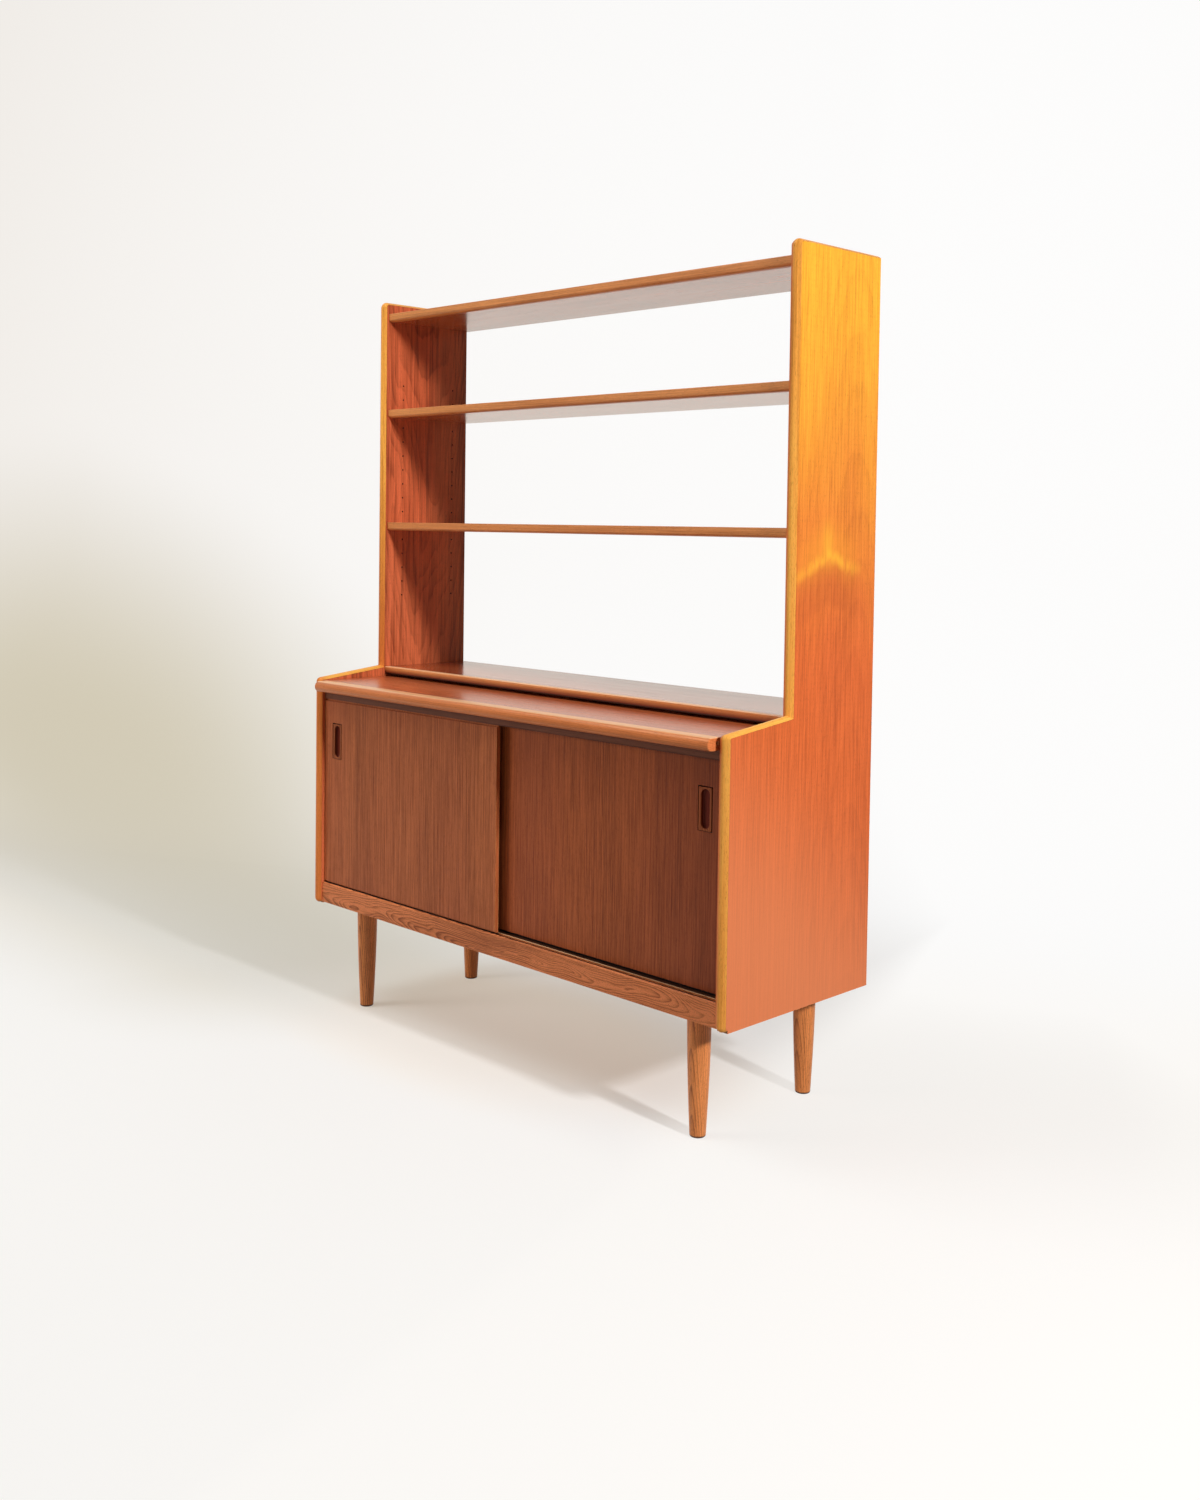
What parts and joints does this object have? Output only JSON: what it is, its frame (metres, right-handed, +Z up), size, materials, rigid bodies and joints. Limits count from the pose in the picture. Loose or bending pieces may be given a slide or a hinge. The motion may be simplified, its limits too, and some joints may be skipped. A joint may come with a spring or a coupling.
{
  "type": "bookcase with desk",
  "caption": "Wooden bookcase on turned legs: open shelves between stepped side panels, over a pull-out desk leaf and a cabinet closed by sliding doors with sunk oblong finger pulls.",
  "frame": {"origin": "on the floor, under the middle of the whole object's box", "axes": "+Z up, -Y to the front, where the doors are, +X to the right as seen from the front"},
  "size_m": [1.2, 0.428, 1.57],
  "materials": {
    "veneer": "teak veneer, satin lacquer",
    "solid_teak": "solid teak, satin lacquer",
    "door_veneer": "straight-grained teak veneer, satin lacquer",
    "door_solid": "solid teak, satin lacquer",
    "beech": "plain beech, unfinished",
    "plywood": "plywood, thin stain",
    "steel": "bright drawn wire",
    "brass": "plain brass"
  },
  "bodies": {
    "carcass": {"side_panel_left": "veneer", "side_panel_right": "veneer", "side_strip_left": "solid_teak", "side_strip_right": "solid_teak", "top_shelf": "veneer", "top_shelf_strip": "solid_teak", "upper_shelf": "veneer", "upper_shelf_strip": "solid_teak", "upper_shelf_wire_left": "steel", "upper_shelf_wire_right": "steel", "lower_shelf": "veneer", "lower_shelf_strip": "solid_teak", "lower_shelf_wire_left": "steel", "lower_shelf_wire_right": "steel", "platform": "veneer", "platform_strip": "solid_teak", "cabinet_top": "veneer", "cabinet_bottom": "veneer", "upper_rail": "solid_teak", "bottom_rail": "solid_teak", "centre_divider": "veneer", "inner_shelf_left": "veneer", "inner_shelf_right": "veneer", "inner_shelf_left_wire_outer": "steel", "inner_shelf_left_wire_inner": "steel", "inner_shelf_right_wire_outer": "steel", "inner_shelf_right_wire_inner": "steel", "cabinet_back": "plywood", "back_screw_left_1": "brass", "back_screw_left_2": "brass", "back_screw_left_3": "brass", "back_screw_left_4": "brass", "back_screw_right_1": "brass", "back_screw_right_2": "brass", "back_screw_right_3": "brass", "back_screw_right_4": "brass", "leg_front_left": "solid_teak", "leg_front_right": "solid_teak", "leg_back_left": "solid_teak", "leg_back_right": "solid_teak", "leg_batten_left": "beech", "leg_batten_right": "beech", "batten_screw_left_1": "brass", "batten_screw_left_2": "brass", "batten_screw_left_3": "brass", "batten_screw_right_1": "brass", "batten_screw_right_2": "brass", "batten_screw_right_3": "brass", "leaf_runner_left": "beech", "leaf_runner_right": "beech", "leaf_kicker_left": "beech", "leaf_kicker_right": "beech"},
    "desk_leaf": {"desk_leaf": "veneer", "desk_leaf_nose": "solid_teak", "leaf_stop": "beech"},
    "door_left": {"sliding_door_left": "door_veneer", "finger_pull_left": "door_solid"},
    "door_right": {"sliding_door_right": "door_veneer", "finger_pull_right": "door_solid"}
  },
  "joints": [
    {"name": "desk_leaf_slide", "type": "slide", "parent": "carcass", "child": "desk_leaf", "axis": [0, -1, 0], "range_m": [0, 0.16]},
    {"name": "door_left_slide", "type": "slide", "parent": "carcass", "child": "door_left", "axis": [1, 0, 0], "range_m": [0, 0.574]},
    {"name": "door_right_slide", "type": "slide", "parent": "carcass", "child": "door_right", "axis": [-1, 0, 0], "range_m": [-0.008, 0.566]}
  ]
}
